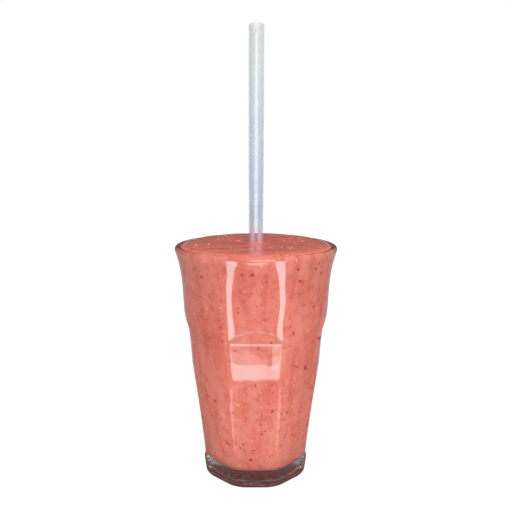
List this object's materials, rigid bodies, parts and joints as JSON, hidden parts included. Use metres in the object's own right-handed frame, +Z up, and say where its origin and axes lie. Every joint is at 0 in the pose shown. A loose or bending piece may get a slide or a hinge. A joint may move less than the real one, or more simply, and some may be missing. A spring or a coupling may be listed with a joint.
{
  "type": "strawberry smoothie in a tumbler",
  "caption": "Tall panelled glass tumbler filled to the brim with a strawberry smoothie, with a clear straight drinking straw standing in the middle.",
  "frame": {"origin": "middle of the underside of the foot, on the tumbler's axis", "axes": "+Z up along the axis of the tumbler and the straw; -Y is the outward direction of one panel"},
  "size_m": [0.088, 0.088, 0.2405],
  "materials": {
    "glass": "clear pressed glass, fire polished",
    "smoothie": "thick wet strawberry puree, coral pink, with flecks of fruit and pips",
    "straw": "clear colourless plastic, slightly milky"
  },
  "bodies": {
    "root": {"glass": "glass", "smoothie": "smoothie", "straw": "straw"}
  },
  "joints": []
}
